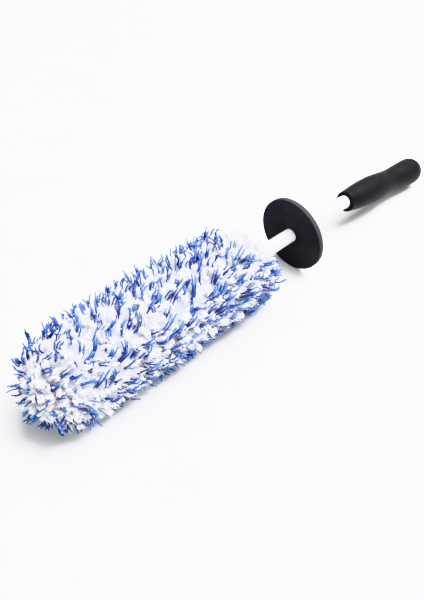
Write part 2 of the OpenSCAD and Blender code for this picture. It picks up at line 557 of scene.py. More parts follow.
@dataclass(frozen=True)
class CoreFoam(Finish):
    """Polyurethane foam, cut from a block: dull grey with open cells about a millimetre across."""

    name: str = "polyurethane_foam_open_cell_grey"
    roughness: float = 0.95
    ior: float = 1.45
    # Painted shade: the tones darken down in each cell's pit, where the relief lies low.
    tones: Tones = ((0.1, "#3a3d42"), (0.45, "#6b7078"))
    tint: Pattern = Pattern(Kind.CELLS, 1.1)
    depth_mm: float = 0.25


@dataclass(frozen=True)
class WovenBacking(Finish):
    """Polyester backing, plain woven: off-white, with threads crossing every 0.8 mm and painted shade between
    them.

    Attributes:
        ways: The two directions in which the threads run.
    """

    name: str = "polyester_woven_off_white"
    roughness: float = 0.85
    ior: float = 1.5
    # Painted shade: the tones darken where the weave lies low between the threads.
    tones: Tones = ((0.2, "#b9bac2"), (0.8, "#e4e4e8"))
    tint: Pattern = Pattern(Kind.THREADS, 0.8, inputs=(("Distortion", 0.6),))
    depth_mm: float = 0.12
    more: Settings = (("Sheen Weight", 0.2),)
    ways: tuple[str, str] = ("X", "DIAGONAL")

    def share(self, tree: bpy.types.NodeTree, place: Socket) -> Socket:
        """The upper one of two crossing threads, which shows.

        Args:
            tree: The material's tree.
            place: The place on the piece, in metres.

        Returns:
            A value from 0 to 1.
        """
        threads = [replace(self.tint, settings=(("bands_direction", way),)) for way in self.ways]
        crossed = {number: thread.lay(tree, place) for number, thread in enumerate(threads)}
        return add_node(tree, "ShaderNodeMath", {"operation": "MAXIMUM"}, crossed).outputs[0]

    def height(self, tree: bpy.types.NodeTree, place: Socket) -> Socket:
        """The weave, which stands out where its tone is lightest."""
        return self.share(tree, place)


@dataclass(frozen=True)
class SewingThread(Finish):
    """Polyester thread, spun and twisted: white with a slanting ply."""

    name: str = "polyester_thread_white"
    roughness: float = 0.6
    ior: float = 1.5
    # Painted shade: the tones darken in the ply's grooves, where the relief lies low.
    tones: Tones = ((0.2, "#cfd0d6"), (0.7, "#f1f1f3"))
    tint: Pattern = Pattern(Kind.THREADS, 0.5, (("bands_direction", "DIAGONAL"),))
    depth_mm: float = 0.05


@dataclass(frozen=True)
class BraidedElastic(SewingThread):
    """Rubber cord under a braid of polyester: white, with a fine slanting braid."""

    name: str = "elastic_braided_white"
    roughness: float = 0.7
    # Painted shade: the tones darken in the braid's grooves, where the relief lies low.
    tones: Tones = ((0.2, "#bfc0c8"), (0.7, "#f1f1f3"))
    tint: Pattern = Pattern(Kind.THREADS, 0.4, (("bands_direction", "DIAGONAL"),))


@dataclass(frozen=True)
class PileFibre(Finish):
    """Split polyester microfibre, cut pile: matt soft white, with painted shade that turns it lavender grey
    towards the roots.

    The tones follow the strand, so the tint's pattern is left to the relief.
    """

    name: str = "microfibre_cut_pile_white"
    roughness: float = 0.9
    ior: float = 1.5
    # Painted shade: lavender grey at the roots, where the pile shades itself, to white at the ends.
    tones: Tones = ((0.15, "#c0c2cd"), (0.6, "#e2e3ea"), (0.9, "#fbfbfd"))
    tint: Pattern = blotches(0.7, 2.0)
    depth_mm: float = 0.05
    more: Settings = (
        ("Sheen Weight", 0.25),
        ("Sheen Roughness", 0.5),
        ("Subsurface Weight", 0.5),
        ("Subsurface Radius", (1.0, 1.0, 1.0)),
        ("Subsurface Scale", 0.002),
    )

    def share(self, tree: bpy.types.NodeTree, place: Socket) -> Socket:
        """The way from a strand's root to its end, which places the painted shade at the root, shifted by its
        tuft's own tone.

        Args:
            tree: The material's tree.
            place: The place on the piece, in metres.

        Returns:
            A value from 0 to 1.
        """
        kept = [add_node(tree, "ShaderNodeAttribute", {"attribute_name": name}) for name in ("along", "tone")]
        terms = {number: node.outputs["Fac"] for number, node in enumerate(kept)}
        return add_node(tree, "ShaderNodeMath", {"operation": "ADD"}, terms).outputs[0]


@dataclass(frozen=True)
class BlueFilament(PileFibre):
    """Dyed polyamide filament, extruded and cut: blue, painted deep blue at its root as shade inside the pile
    and lighter towards its end.
    """

    name: str = "polyamide_filament_blue"
    roughness: float = 0.38
    ior: float = 1.53
    # Painted shade: deep blue at the root inside the pile, lighter towards the end.
    tones: Tones = ((0.2, "#14246e"), (0.65, "#203f82"), (1.0, "#406ba2"))
    tint: Pattern = blotches(1.2, 2.0)
    depth_mm: float = 0.04
    more: Settings = ()


@dataclass(frozen=True)
class StudioFloor(Finish):
    """Painted board for the floor: matt, very pale, with a barely visible mottle."""

    name: str = "studio_floor_matt_white"
    roughness: float = 0.95
    ior: float = 1.45
    tones: Tones = ((0.3, "#dadadb"), (0.7, "#dcdcdc"))
    tint: Pattern = blotches(60.0)
    more: Settings = (("Specular IOR Level", 0.1),)


# ---------------------------------------------------------------------------------------------
# Strands: one geometry tree for the pile, the filaments and the stitches
# ---------------------------------------------------------------------------------------------


@dataclass
class StrandRoots:
    """Where bundles of strands start and where they go, in millimetres.

    Attributes:
        start: Start points.
        aim: Vectors from each start to the middle of the bundle's end.
        bow: Vectors by which the middle of each bundle bows out.
        tone: A shift of the colour along the strand, one for each bundle.
    """

    start: list[Point] = field(default_factory=list)
    aim: list[Point] = field(default_factory=list)
    bow: list[Point] = field(default_factory=list)
    tone: list[float] = field(default_factory=list)

    def add(self, start: Sequence[float], aim: Sequence[float], bow: Sequence[float], tone: float) -> None:
        """Adds one bundle.

        Args:
            start: Its start point.
            aim: The vector to its end.
            bow: How its middle bows out.
            tone: Its colour shift.
        """
        self.start.append(tuple(start))
        self.aim.append(tuple(aim))
        self.bow.append(tuple(bow))
        self.tone.append(tone)

    def part(self, first: int, last: int) -> "StrandRoots":
        """The bundles from number first up to, but not with, number last."""
        return StrandRoots(*(held[first:last] for held in (self.start, self.aim, self.bow, self.tone)))

    def to_object(self, name: str) -> bpy.types.Object:
        """Makes a mesh of loose points with the bundles' vectors as attributes.

        Args:
            name: The object's name.

        Returns:
            The new object.
        """
        obj = make_object(name, self.start, [])
        for label, values in (("aim", self.aim), ("bow", self.bow)):
            attribute = obj.data.attributes.new(label, "FLOAT_VECTOR", "POINT")
            attribute.data.foreach_set("vector", (np.array(values) * MM).ravel().astype(np.float32))
        attribute = obj.data.attributes.new("tone", "FLOAT", "POINT")
        attribute.data.foreach_set("value", np.array(self.tone, np.float32))
        return obj


@dataclass(frozen=True)
class StrandStyle:
    """How the strands of a bundle look. Lengths are in millimetres.

    Attributes:
        strands: Strands in a bundle.
        points: Points along a strand.
        sides: Sides of a strand's section.
        thickness: Diameter of a strand.
        taper: Share of the thickness that is lost at the end.
        root_spread: How far the starts of a bundle's strands lie apart.
        end_spread: How far their ends lie apart.
        stray: How far a strand may bend off its own way.
        shortest: Length of the shortest strand as a share of the aim.
        floor: Height below which no strand reaches.
        seed: Seed of the random values.
    """

    strands: int = 1
    points: int = 5
    sides: int = 3
    thickness: float = 0.4
    taper: float = 0.4
    root_spread: float = 0.0
    end_spread: float = 0.0
    stray: float = 0.0
    shortest: float = 1.0
    floor: float = -1000.0
    seed: int = 1

    def inputs(self) -> dict[str, float | int]:
        """The values of the tree's named inputs.

        Returns:
            Each value under its input's name, in metres where it is a length.
        """
        return {
            "Strands": self.strands,
            "Points": self.points,
            "Sides": self.sides,
            "Thickness": self.thickness * MM,
            "Taper": self.taper,
            "Root spread": self.root_spread * MM,
            "End spread": self.end_spread * MM,
            "Stray": self.stray * MM,
            "Shortest": self.shortest,
            "Floor": self.floor * MM,
            "Seed": self.seed,
        }


@dataclass(frozen=True)
class StandsFor:
    """What a piece is called and what it stands for.

    Attributes:
        name: The piece's name.
        node: The CAD node that it stands for.
        slot: The record's material slot that it belongs to; not used.
    """

    name: str
    node: str
    slot: str


class StrandTree:
    """Geometry nodes that grow bundles of strands from root points.

    Attributes:
        WHOLE: Socket type of a whole number.
        NUMBER: Socket type of any other number.
        SOCKETS: The tree's named inputs with their types.
        SEED_STEP: Distance between the seeds of a strand's random values.
        ROUNDING: How much shorter the outer strands of a bundle are, which rounds its end.
        ALL_WAYS: Limits of a random vector.
        LIFT: Least and most height over the floor of a strand that lies on it, in thicknesses.
        tree: The node tree.
        held: The values worked out so far, by name.
    """

    WHOLE = "NodeSocketInt"
    NUMBER = "NodeSocketFloat"
    SOCKETS = {
        "Roots": "NodeSocketGeometry",
        "Strands": WHOLE,
        "Points": WHOLE,
        "Sides": WHOLE,
        "Thickness": NUMBER,
        "Taper": NUMBER,
        "Root spread": NUMBER,
        "End spread": NUMBER,
        "Stray": NUMBER,
        "Shortest": NUMBER,
        "Floor": NUMBER,
        "Seed": WHOLE,
        "Material": "NodeSocketMaterial",
    }
    SEED_STEP = 101.0
    ROUNDING = 0.07
    ALL_WAYS = ((-1.0, -1.0, -1.0), (1.0, 1.0, 1.0))
    LIFT = (0.5, 3.0)

    def __init__(self) -> None:
        """Builds the tree once; every bundle piece uses it."""
        self.tree = bpy.data.node_groups.new("strand_bundles", "GeometryNodeTree")
        for name, kind in self.SOCKETS.items():
            self.tree.interface.new_socket(name, in_out="INPUT", socket_type=kind)
        self.tree.interface.new_socket("Skin", in_out="OUTPUT", socket_type="NodeSocketGeometry")
        given = add_node(self.tree, "NodeGroupInput").outputs
        self.held: dict[object, Socket] = {name: given[name] for name in self.SOCKETS}
        lines = self._lines()
        self._draw_values()
        self._skin(self._bend(lines))

    def _step(self, kind: str, settings: dict | None, inputs: dict, output: int = 0) -> Socket:
        """Adds a node and hands back one of its outputs.

        Args:
            kind: The node's type name.
            settings: Values of its own properties.
            inputs: Values for its inputs, where the name of a held value stands for that value.
            output: Number of the output.

        Returns:
            The output socket.
        """
        links = {key: self.held.get(value, value) for key, value in inputs.items()}
        return add_node(self.tree, kind, settings, links).outputs[output]

    def _work_out(self, *sums: tuple[str, str, object, object]) -> None:
        """Works out numbers one after the other and holds each under its name.

        Args:
            sums: Each number's name, its operation and its two terms, numbers or names of held ones.
        """
        for name, operation, first, second in sums:
            terms = {0: first, 1: second}
            self.held[name] = self._step("ShaderNodeMath", {"operation": operation}, terms)

    def _lines(self) -> Socket:
        """Lays one straight line for each strand and holds which bundle it belongs to.

        Returns:
            The lines.
        """
        held = self.held
        held["bundles"] = self._step("GeometryNodeAttributeDomainSize", {"component": "MESH"}, {0: "Roots"})
        self._work_out(("amount", "MULTIPLY", "bundles", "Strands"))
        line = self._step("GeometryNodeCurvePrimitiveLine", None, {})
        fine = self._step("GeometryNodeResampleCurve", None, {"Curve": line, "Count": "Points"})
        copies = add_node(
            self.tree,
            "GeometryNodeDuplicateElements",
            {"domain": "SPLINE"},
            {"Geometry": fine, "Amount": held["amount"]},
        )
        held["strand"] = copies.outputs["Duplicate Index"]
        self._work_out(
            ("half on", "ADD", "strand", 0.5),
            ("share", "DIVIDE", "half on", "Strands"),
            ("bundle", "FLOOR", "share", 0.0),
        )
        return copies.outputs[0]

    def _draw_values(self) -> None:
        """Reads each bundle's own values and draws each strand's random ones."""
        held = self.held
        held["place"] = self._step("GeometryNodeInputPosition", None, {})
        for name, kind in (("aim", "FLOAT_VECTOR"), ("bow", "FLOAT_VECTOR"), ("tone", "FLOAT")):
            held[name] = self._step("GeometryNodeInputNamedAttribute", {"data_type": kind}, {"Name": name})
        for name, source, kind in (
            ("start", "place", "FLOAT_VECTOR"),
            ("aim", "aim", "FLOAT_VECTOR"),
            ("bow", "bow", "FLOAT_VECTOR"),
            ("tone", "tone", "FLOAT"),
        ):
            held[name] = self._step(
                "GeometryNodeSampleIndex",
                {"data_type": kind, "domain": "POINT"},
                {"Geometry": "Roots", "Value": source, "Index": "bundle"},
            )
        for number, (name, low, high) in enumerate(
            (
                ("aside", *self.ALL_WAYS),
                ("cut", 0.0, 1.0),
                ("wild", 0.0, 1.0),
                ("astray", *self.ALL_WAYS),
                ("lift", *self.LIFT),
            )
        ):
            self._work_out(("own seed", "ADD", "Seed", self.SEED_STEP * number))
            vector = isinstance(low, tuple)
            limits = {0: low, 1: high} if vector else {2: low, 3: high}
            held[name] = self._step(
                "FunctionNodeRandomValue",
                {"data_type": "FLOAT_VECTOR" if vector else "FLOAT"},
                {**limits, 7: "strand", 8: "own seed"},
                0 if vector else 1,
            )

    def _bend(self, lines: Socket) -> Socket:
        """Bends each line to its strand's way, no lower than the floor.

        Args:
            lines: The straight lines.

        Returns:
            The bent lines, with how far along each point is and the bundle's tone stored on them.
        """
        held = self.held
        spline = add_node(self.tree, "GeometryNodeSplineParameter")
        held["along"] = spline.outputs["Factor"]
        both = {0: held["aside"], 1: held["aside"]}
        away = add_node(self.tree, "ShaderNodeVectorMath", {"operation": "DOT_PRODUCT"}, both)
        held["away"] = away.outputs["Value"]
        self._work_out(
            ("outer loss", "MULTIPLY", "away", self.ROUNDING),
            ("rounding", "SUBTRACT", 1.0, "outer loss"),
            ("spare", "SUBTRACT", 1.0, "Shortest"),
            ("drawn", "MULTIPLY", "spare", "cut"),
            ("round less", "SUBTRACT", "rounding", 1.0),
            ("round share", "MULTIPLY", "round less", "spare"),
            ("rounded", "ADD", "round share", 1.0),
            ("left", "SUBTRACT", 1.0, "drawn"),
            ("reach", "MULTIPLY", "left", "rounded"),
            ("way", "MULTIPLY", "along", "reach"),
            ("widening", "SUBTRACT", "End spread", "Root spread"),
            ("wider", "MULTIPLY", "widening", "along"),
            ("spread", "ADD", "Root spread", "wider"),
            ("squared", "MULTIPLY", "along", "along"),
            ("wildness", "POWER", "wild", 2.0),
            ("wild end", "MULTIPLY", "squared", "wildness"),
            ("strayed", "MULTIPLY", "wild end", "Stray"),
            ("half turn", "MULTIPLY", "along", math.pi),
            ("arch", "SINE", "half turn", 0.0),
            ("clearance", "MULTIPLY", "lift", "Thickness"),
            ("lowest", "ADD", "Floor", "clearance"),
        )
        place = held["start"]
        for vector, factor in (("aim", "way"), ("aside", "spread"), ("astray", "strayed"), ("bow", "arch")):
            scaled = self._step("ShaderNodeVectorMath", {"operation": "SCALE"}, {0: vector, "Scale": factor})
            place = self._step("ShaderNodeVectorMath", {"operation": "ADD"}, {0: place, 1: scaled})
        parts = add_node(self.tree, "ShaderNodeSeparateXYZ", inputs={0: place}).outputs
        self._work_out(("height", "MAXIMUM", parts[2], "lowest"))
        lifted = self._step("ShaderNodeCombineXYZ", None, {0: parts[0], 1: parts[1], 2: "height"})
        bent = self._step("GeometryNodeSetPosition", None, {"Geometry": lines, "Position": lifted})
        for name in ("along", "tone"):
            bent = self._step(
                "GeometryNodeStoreNamedAttribute",
                {"data_type": "FLOAT", "domain": "POINT"},
                {"Geometry": bent, "Value": name},
            )
            bent.node.inputs["Name"].default_value = name
        return bent

    def _skin(self, bent: Socket) -> None:
        """Gives the bent lines their tapering skin and their finish.

        Args:
            bent: The bent lines.
        """
        self._work_out(
            ("slimmed", "MULTIPLY", "Taper", "squared"),
            ("slimming", "SUBTRACT", 1.0, "slimmed"),
            ("half", "MULTIPLY", "Thickness", 0.5),
            ("radius", "MULTIPLY", "half", "slimming"),
        )
        section = self._step("GeometryNodeCurvePrimitiveCircle", None, {"Resolution": "Sides", "Radius": 1.0})
        skin = self._step(
            "GeometryNodeCurveToMesh",
            None,
            {"Curve": bent, "Profile Curve": section, "Scale": "radius", "Fill Caps": True},
        )
        real = self._step("GeometryNodeRealizeInstances", None, {"Geometry": skin})
        done = self._step("GeometryNodeSetMaterial", None, {"Geometry": real, "Material": "Material"})
        add_node(self.tree, "NodeGroupOutput", inputs={0: done})

    def grow(
        self, stands_for: StandsFor, roots: StrandRoots, style: StrandStyle, material: bpy.types.Material
    ) -> bpy.types.Object:
        """Grows the strands of one piece as a plain mesh and hides the CAD node that it stands for.

        Args:
            stands_for: The piece's name, CAD node and slot.
            roots: Where its bundles start and go.
            style: How its strands look.
            material: Its finish.

        Returns:
            The new object.
        """
        name = stands_for.name
        seedbed = roots.to_object(f"{name}_roots")
        modifier = seedbed.modifiers.new("strands", "NODES")
        modifier.node_group = self.tree
        values = dict(style.inputs(), Material=material)
        for item in self.tree.interface.items_tree:
            if item.in_out == "INPUT" and item.name in values:
                modifier[item.identifier] = values[item.name]
        evaluated = seedbed.evaluated_get(bpy.context.evaluated_depsgraph_get())
        mesh = bpy.data.meshes.new_from_object(evaluated)
        mesh.name = name
        seedbed.modifiers.remove(modifier)
        bpy.data.objects.remove(seedbed)
        piece = link_object(name, mesh)
        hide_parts(stands_for.node)
        return piece


# ---------------------------------------------------------------------------------------------
# The head's cover
# ---------------------------------------------------------------------------------------------


class Zone(Enum):
    """The stretches of the head's outside."""

    TIP = "tip"
    SIDE = "side"
    NECK = "neck"


@dataclass
class HeadOutline:
    """The outside that the pile reaches, and the backing that it grows from.

    Attributes:
        at: The brush's main places.
        radius: Radius of the pile's outside, in millimetres.
        neck_len: Length of the rounded neck.
        neck_r: Radius at which the neck's pile meets the stem.
        neck_bulge: Length of the rounded neck's outline as a share of its chord.
        neck_back: Distance from the end of the rounded neck to the pile's neck edge.
        panel_share: Share of the dome's outline that grows from the end panel.
        ahead: How far the pile's lowest roots lie in front of the end panel.
        panel_zone: Depth behind it in which the roots lie on the panel.
        panel_root: Radius of a root on the panel, as a share of its end's radius.
        gather_zone: Length of the core's end over which the roots draw in to the neck.
    """

    at: Stations
    radius: float
    neck_len: float = 34.0
    neck_r: float = 9.5
    neck_bulge: float = 1.1
    neck_back: float = 6.0
    panel_share: float = 0.38
    ahead: float = 0.5
    panel_zone: float = 4.0
    panel_root: float = 0.62
    gather_zone: float = 6.0

    @property
    def tip_x(self) -> float:
        """Where the outside crosses the axis at the tip."""
        return self.at.tip_x + (self.at.head_r - self.radius)

    @property
    def tip_arc_len(self) -> float:
        """Length of the outline over the domed tip."""
        return self.radius * math.pi / 2

    @property
    def panel_end(self) -> float:
        """Distance along the outline at which the end panel's pile ends."""
        return self.tip_arc_len * self.panel_share

    @property
    def side_len(self) -> float:
        """Length of the outline's straight side."""
        return self.at.neck_x - self.neck_back - self.neck_len - self.tip_x - self.radius

    @property
    def neck_arc_len(self) -> float:
        """Rough length of the outline over the rounded neck."""
        return math.hypot(self.neck_len, self.radius - self.neck_r) * self.neck_bulge

    @property
    def length(self) -> float:
        """Length of the whole outline, from the tip's pole to the stem."""
        return self.tip_arc_len + self.side_len + self.neck_arc_len

    def zone(self, run: float) -> Zone:
        """The stretch that a distance along the outline lies in."""
        ends = ((Zone.TIP, self.tip_arc_len), (Zone.SIDE, self.tip_arc_len + self.side_len))
        return next((zone for zone, end in ends if run < end), Zone.NECK)

    def outside(self, run: float) -> tuple[float, float]:
        """A place on the outline.

        Args:
            run: Distance along the outline, counted from the tip's pole.

        Returns:
            The place as (radius, X station).
        """
        if self.zone(run) is Zone.TIP:
            turn = run / self.radius
            return self.radius * math.sin(turn), self.tip_x + self.radius * (1 - math.cos(turn))
        start = self.tip_x + self.radius
        if self.zone(run) is Zone.SIDE:
            return self.radius, start + run - self.tip_arc_len
        turn = (run - self.tip_arc_len - self.side_len) / self.neck_arc_len * math.pi / 2
        return (
            self.neck_r + (self.radius - self.neck_r) * math.cos(turn),
            start + self.side_len + self.neck_len * math.sin(turn),
        )

    def backing(self, radius: float, station: float) -> tuple[float, float]:
        """The place on the backing from which the pile under an outside point grows.

        Args:
            radius: The outside point's radius.
            station: The outside point's X station.

        Returns:
            The root as (radius, X station).
        """
        at = self.at
        low, high = at.panel_x - self.ahead, at.core_end_x
        root_x = min(max(station, low), high)
        if station < low + self.panel_zone:
            return min(radius * self.panel_root, at.backing_r), root_x
        if station > high - self.gather_zone:
            share = min(1.0, (station - high + self.gather_zone) / (at.neck_x - high))
            return at.backing_r + (self.neck_r - at.backing_r) * share, root_x
        return at.backing_r, root_x


@dataclass(frozen=True)
class Stroke:
    """How the pile lies after a stroke of the hand, as shares of a plan's lean.

    Attributes:
        dome: Lean away from the pole where the dome meets the side.
        neck_top: Lean along the neck on its upper side.
        neck_under: How much more of it the neck's lower side has.
        neck_round: Lean round the neck on its lower side.
        side_top: Lean along the side on its upper side.
        side_under: How much more of it the lower side has.
        tip_end: How much of the side's lean is left at the tip.
        neck_end: How much is added to that at the neck.
        pressed: Lean towards the tip where the brush lies on its pile.
        parted: How fast the lean towards the top is lost on the lower side near the neck.
    """

    dome: float = 0.9
    neck_top: float = 0.2
    neck_under: float = 1.2
    neck_round: float = 0.6
    side_top: float = 0.5
    side_under: float = 0.9
    tip_end: float = 0.9
    neck_end: float = 0.4
    pressed: float = 2.0
    parted: float = 1.3


@dataclass
class TuftPlan:
    """How tufts are spread over the head.

    Attributes:
        outline: The outside that the tufts reach.
        row_mm: Distance between rows of tufts along the outline.
        along_row_mm: Distance between tufts round a row.
        jitter_mm: Random shift of a tuft.
        height_mm: Random change of a tuft's height.
        lean_mm: Shift of the tuft's end towards the neck.
        lean_spread_mm: Random change of that shift, both along and round the head.
        bow_mm: Random bow of a tuft.
        tone: Random change of a tuft's colour.
        sunk: Share of the way from the backing to the outside where the strands start.
        seed: Seed of the random values.
        sparse_neck: Whether most tufts on the far side of the neck are left out.
        bare: Share of those tufts left out on the sides of the neck.
        bare_top: How much more of them is left out on its upper side.
        arch_mm: How far the middle of every tuft bows outwards.
        to_top: Lean round the head towards its upper side, as a share of lean_mm.
        crowd: Chance of a second tuft beside one on the lower side near the neck.
        crowd_far: Share of that chance far from the neck.
        crowd_top: Share of that chance on the upper side.
        crest_mm: How much longer the tufts on the upper side are.
        near_from: Share of the outline at which the neck starts to count as near.
        near_over: Share of the outline over which it comes near.
        tip_arch: Share of the arch that the tufts on the tip have.
        tip_bow: Share of the random bow that they have.
        pole_r: Radius under which a random shift no longer turns a tuft faster round the pole.
        stroke: How the pile lies.
    """

    outline: HeadOutline
    row_mm: float
    along_row_mm: float
    jitter_mm: float
    height_mm: float
    lean_mm: float
    lean_spread_mm: float
    bow_mm: float
    tone: float
    sunk: float
    seed: int
    sparse_neck: bool = False
    bare: float = 0.45
    bare_top: float = 0.4
    arch_mm: float = 0.0
    to_top: float = 0.5
    crowd: float = 0.0
    crowd_far: float = 0.15
    crowd_top: float = 0.4
    crest_mm: float = 0.0
    near_from: float = 0.6
    near_over: float = 0.25
    tip_arch: float = 0.2
    tip_bow: float = 0.6
    pole_r: float = 6.0
    stroke: Stroke = Stroke()

    def roots(self, run_from: float, run_to: float) -> StrandRoots:
        """The tufts between two distances along the outline.

        Args:
            run_from: First distance, counted from the tip's pole.
            run_to: Last distance.

        Returns:
            The tufts' starts and aims, row by row.
        """
        draw = np.random.default_rng(self.seed)
        found = StrandRoots()
        rows = max(1, round((run_to - run_from) / self.row_mm))
        for row in range(rows):
            run = run_from + (run_to - run_from) * (row + 0.5) / rows
            radius, _ = self.outline.outside(run)
            thinned = self.sparse_neck and self.outline.zone(run) is Zone.NECK
            count = max(3, round(2 * math.pi * radius / self.along_row_mm))
            for k in range(count):
                angle = 2 * math.pi * (k + 0.5 * (row % 2)) / count
                upper = math.cos(angle - UP_BACK)
                if thinned and draw.random() < self.bare + self.bare_top * upper:
                    continue
                self._tuft(found, draw, run, angle)
                below = (self.crowd_far + (1 - self.crowd_far) * self._near_neck(run)) * self._under(angle)
                if draw.random() < self.crowd * max(below, self.crowd_top * max(0.0, upper) ** 3):
                    self._tuft(found, draw, run, angle + 2.0 * self.jitter_mm / radius)
        return found

    def _near_neck(self, run: float) -> float:
        """How near the neck a distance along the outline is, from 0 far from it to 1 on it."""
        return min(1.0, max(0.0, (run / self.outline.length - self.near_from) / self.near_over))

    @staticmethod
    def _under(angle: float) -> float:
        """How much an angle faces the lower side, from 0 on the upper side to 1 opposite it."""
        return 0.5 - 0.5 * math.cos(angle - UP_BACK)

    def _tuft(self, found: StrandRoots, draw: np.random.Generator, run: float, angle: float) -> None:
        """Adds one tuft near a place on the outline.

        Args:
            found: The tufts so far.
            draw: Source of the random values.
            run: Distance along the outline.
            angle: Angle round the head.
        """
        shift = draw.normal(0, self.jitter_mm, 2)
        run = max(1.0, run + shift[0])
        radius, station = self.outline.outside(run)
        angle += shift[1] / max(radius, self.pole_r)
        root_r, root_x = self.outline.backing(radius, station)
        outer = np.array(self.outline.at.on_axis(radius, angle, station))
        inner = np.array(self.outline.at.on_axis(root_r, angle, root_x))
        way = outer - inner
        length = float(np.linalg.norm(way))
        way /= length
        start = inner + way * length * self.sunk
        along, around = self._lean(draw, run, angle)
        lean = np.array([along, -around * math.sin(angle), around * math.cos(angle)])
        crest = self.crest_mm * max(0.0, math.cos(angle - UP_BACK)) ** 2
        reach = length * (1 - self.sunk) + crest + draw.normal(0, self.height_mm)
        # A tuft that leans far stays about as long, so its end comes down.
        aim = way * math.sqrt(max(reach**2 - 0.5 * float(lean @ lean), (0.5 * reach) ** 2)) + lean
        on_tip = self.outline.zone(run) is Zone.TIP
        arch, bow = (self.tip_arch, self.tip_bow) if on_tip else (1.0, 1.0)
        bowed = way * self.arch_mm * arch + draw.normal(0, self.bow_mm * bow, 3)
        found.add(start, aim, bowed, float(draw.normal(0, self.tone)))

    def _lean(self, draw: np.random.Generator, run: float, angle: float) -> tuple[float, float]:
        """How far a tuft's end leans, as after a stroke of the hand.

        Args:
            draw: Source of the random values.
            run: The tuft's distance along the outline.
            angle: Its angle round the head.

        Returns:
            The lean along the head and the lean round it, in millimetres.
        """
        along, around = draw.normal(0, self.lean_spread_mm, 2)
        stroke, lean, under = self.stroke, self.lean_mm, self._under(angle)
        share = run / self.outline.length
        on_floor = max(0.0, -math.sin(angle))
        zone = self.outline.zone(run)
        if zone is Zone.TIP:
            turn = run / self.outline.tip_arc_len
            return along + lean * (turn**2 * stroke.dome - on_floor), around
        if zone is Zone.NECK:
            back = stroke.neck_top + stroke.neck_under * under
            return along + lean * back, around + stroke.neck_round * lean * under
        back = (stroke.side_top + stroke.side_under * under) * (stroke.tip_end + stroke.neck_end * share)
        back -= stroke.pressed * on_floor * (1 - share)
        kept = 1 - stroke.parted * self._near_neck(run) * under
        up = self.to_top * abs(math.sin(angle - UP_BACK)) * kept
        return along + lean * back, around - lean * up


@dataclass
class UnderPile:
    """The short dense fibre between the tufts: a lumpy closed shell round the backing.

    Attributes:
        at: The brush's main places.
        floor_mm: Height that no pile goes below.
        depth: How far the shell lies inside the head's outside.
        gap: Gap between the backing and the shell.
        least: Least thickness of the shell at its two ends.
        lump: Height of its lumps.
        waves: Number of waves that the lumps are made of.
        wave: Shortest wave along the head, and its random change.
        lobes: Fewest lobes round the head, and their random change.
        phase: Random shifts of a wave.
        lie: Height of the shell over floor_mm where the brush lies on it.
        steps: Steps along the head.
        segments: Segments round it.
        seed: Seed of the random values.
    """

    at: Stations
    floor_mm: float
    depth: float = 7.5
    gap: float = 0.8
    least: float = 0.5
    lump: float = 2.5
    waves: int = 14
    wave: tuple[float, float] = (4.0, 2.0)
    lobes: tuple[float, float] = (2.0, 5.0)
    phase: tuple[float, float] = (6.0, 3.0)
    lie: float = 2.0
    steps: int = 120
    segments: int = 72
    seed: int = 5

    def build(self, finish: bpy.types.Material) -> bpy.types.Object:
        """Builds and dresses the shell.

        Args:
            finish: The pile's finish.

        Returns:
            The new object.
        """
        outline = HeadOutline(self.at, self.at.head_r - self.depth)
        inner_r = self.at.backing_r + self.gap
        waves = [
            (
                self.wave[0] + self.wave[1] * abs(a),
                round(self.lobes[0] + self.lobes[1] * abs(c)),
                self.phase[0] * b + self.phase[1] * d,
            )
            for a, b, c, d in np.random.default_rng(self.seed).normal(0, 1, (self.waves, 4))
        ]

        def place(radius: float, angle: float, station: float) -> Point:
            """A point of the shell with its lumps, kept off the floor.

            Args:
                radius: Radius without the lumps.
                angle: Angle round the head.
                station: X station.

            Returns:
                The point in the row frame.
            """
            swell = sum(math.sin(station / length + lobes * angle + phase) for length, lobes, phase in waves)
            grown = radius + (swell / len(waves) * self.lump if radius > inner_r + self.least / 2 else 0.0)
            x, y, z = self.at.on_axis(grown, angle, station)
            return (x, y, max(z, self.floor_mm + self.lie))

        outer = [outline.outside(run) for run in evenly(0.0, outline.length, self.steps)]
        kept = [point for point in outer if point[0] > inner_r + self.least]
        profile = [(inner_r, kept[0][1]), *kept, (inner_r, kept[-1][1])]
        shell = turned("pile_underlayer", profile[::-1], place, self.segments, closed=True)
        # The shell has no strand attributes, so it takes the pile's root tone: painted shade between the
        # tufts.
        dress(shell, finish)
        return shell


